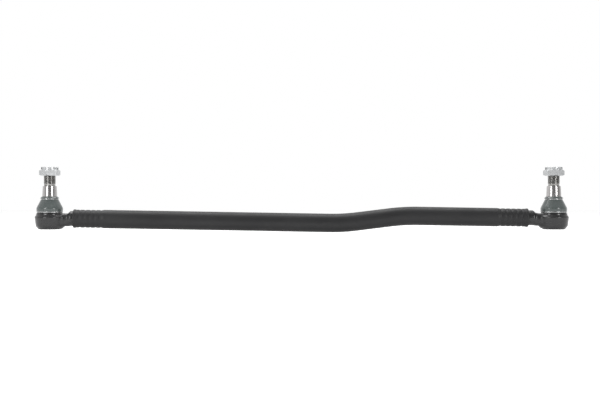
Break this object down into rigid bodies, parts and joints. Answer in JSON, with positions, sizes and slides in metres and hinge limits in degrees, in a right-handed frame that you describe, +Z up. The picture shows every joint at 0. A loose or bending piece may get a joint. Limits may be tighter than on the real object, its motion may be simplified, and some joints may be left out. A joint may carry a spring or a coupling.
{
  "type": "tie rod",
  "caption": "Cranked steel tie rod for a heavy vehicle's steering, with a booted ball joint, a tapered stud and a castle nut at each end.",
  "frame": {"origin": "under the middle of the rod, at the height of the tube's lowest point", "axes": "+X along the rod from the cranked-away end to the end nearer the crank, +Z up along both ball studs, +Y across"},
  "size_m": [1.3442, 0.0732, 0.1639],
  "materials": {
    "satin_black_paint": "satin",
    "ground_steel": "ground",
    "zinc_plate": "bright zinc plate",
    "grey_green_rubber": "smooth",
    "ring_steel": "plated",
    "spring_steel": "phosphated",
    "bearing_plastic": "moulded"
  },
  "bodies": {
    "root": {"rod_tube": "satin_black_paint", "left_ball_housing": "satin_black_paint", "left_upper_seat": "bearing_plastic", "left_lower_seat": "bearing_plastic", "left_preload_spring": "spring_steel", "left_closing_cap": "satin_black_paint", "left_boot_lower_ring": "ring_steel", "right_ball_housing": "satin_black_paint", "right_upper_seat": "bearing_plastic", "right_lower_seat": "bearing_plastic", "right_preload_spring": "spring_steel", "right_closing_cap": "satin_black_paint", "right_boot_lower_ring": "ring_steel"},
    "left_boot_base": {"left_boot": "grey_green_rubber"},
    "left_boot_lip": {"left_boot_upper_ring": "ring_steel"},
    "left_stud": {"left_ball_stud": "ground_steel", "left_castle_nut": "zinc_plate"},
    "right_boot_base": {"right_boot": "grey_green_rubber"},
    "right_boot_lip": {"right_boot_upper_ring": "ring_steel"},
    "right_stud": {"right_ball_stud": "ground_steel", "right_castle_nut": "zinc_plate"}
  },
  "joints": [
    {"name": "left_tilt_direction", "type": "hinge", "parent": "root", "child": "left_boot_base", "pos_m": [-0.635, 0, 0.03508], "axis": [0, 0, 1], "continuous": true},
    {"name": "left_tilt", "type": "hinge", "parent": "left_boot_base", "child": "left_boot_lip", "pos_m": [-0.635, 0, 0.03508], "axis": [0, 1, 0], "range_deg": [-20, 20], "deforming": ["left_boot"]},
    {"name": "left_stud_turn", "type": "hinge", "parent": "left_boot_lip", "child": "left_stud", "pos_m": [-0.635, 0, 0.03508], "axis": [0, 0, 1], "continuous": true},
    {"name": "right_tilt_direction", "type": "hinge", "parent": "root", "child": "right_boot_base", "pos_m": [0.635, 0, 0.03508], "axis": [0, 0, 1], "continuous": true},
    {"name": "right_tilt", "type": "hinge", "parent": "right_boot_base", "child": "right_boot_lip", "pos_m": [0.635, 0, 0.03508], "axis": [0, 1, 0], "range_deg": [-20, 20], "deforming": ["right_boot"]},
    {"name": "right_stud_turn", "type": "hinge", "parent": "right_boot_lip", "child": "right_stud", "pos_m": [0.635, 0, 0.03508], "axis": [0, 0, 1], "continuous": true}
  ]
}
